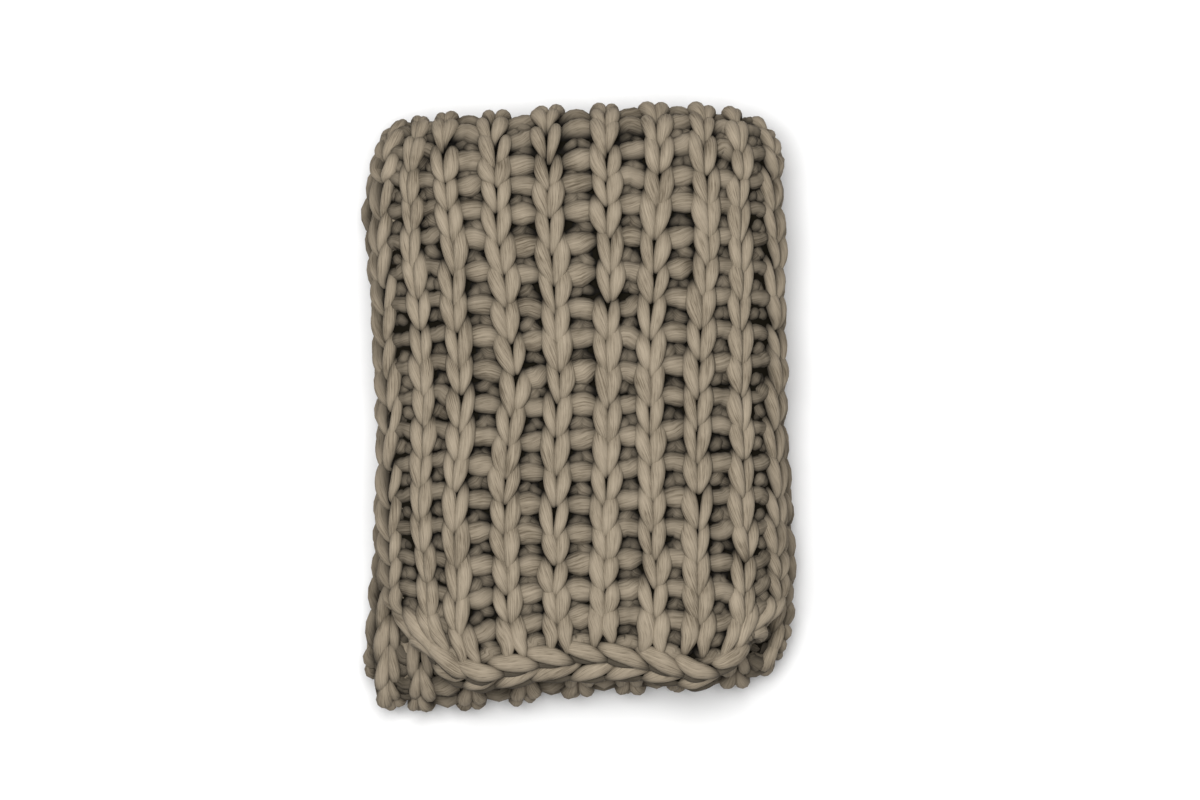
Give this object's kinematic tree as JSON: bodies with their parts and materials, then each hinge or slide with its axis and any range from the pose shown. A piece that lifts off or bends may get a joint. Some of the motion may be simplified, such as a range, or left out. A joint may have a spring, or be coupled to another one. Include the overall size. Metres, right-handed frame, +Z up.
{
  "type": "folded wool blanket",
  "caption": "Thick rib-knit wool throw, folded in three across its width and back and forth along its length, with a chain edge on the near side.",
  "frame": {"origin": "middle of the footprint, on the surface that the blanket lies on", "axes": "+Z up; +Y along the longer side, away from the side where the chain edge shows; +X across the bundle"},
  "size_m": [0.4212, 0.6044, 0.1859],
  "materials": {
    "wool": "matt greige roving wool, thick loose fibres"
  },
  "bodies": {
    "root": {"blanket": "wool"}
  },
  "joints": []
}
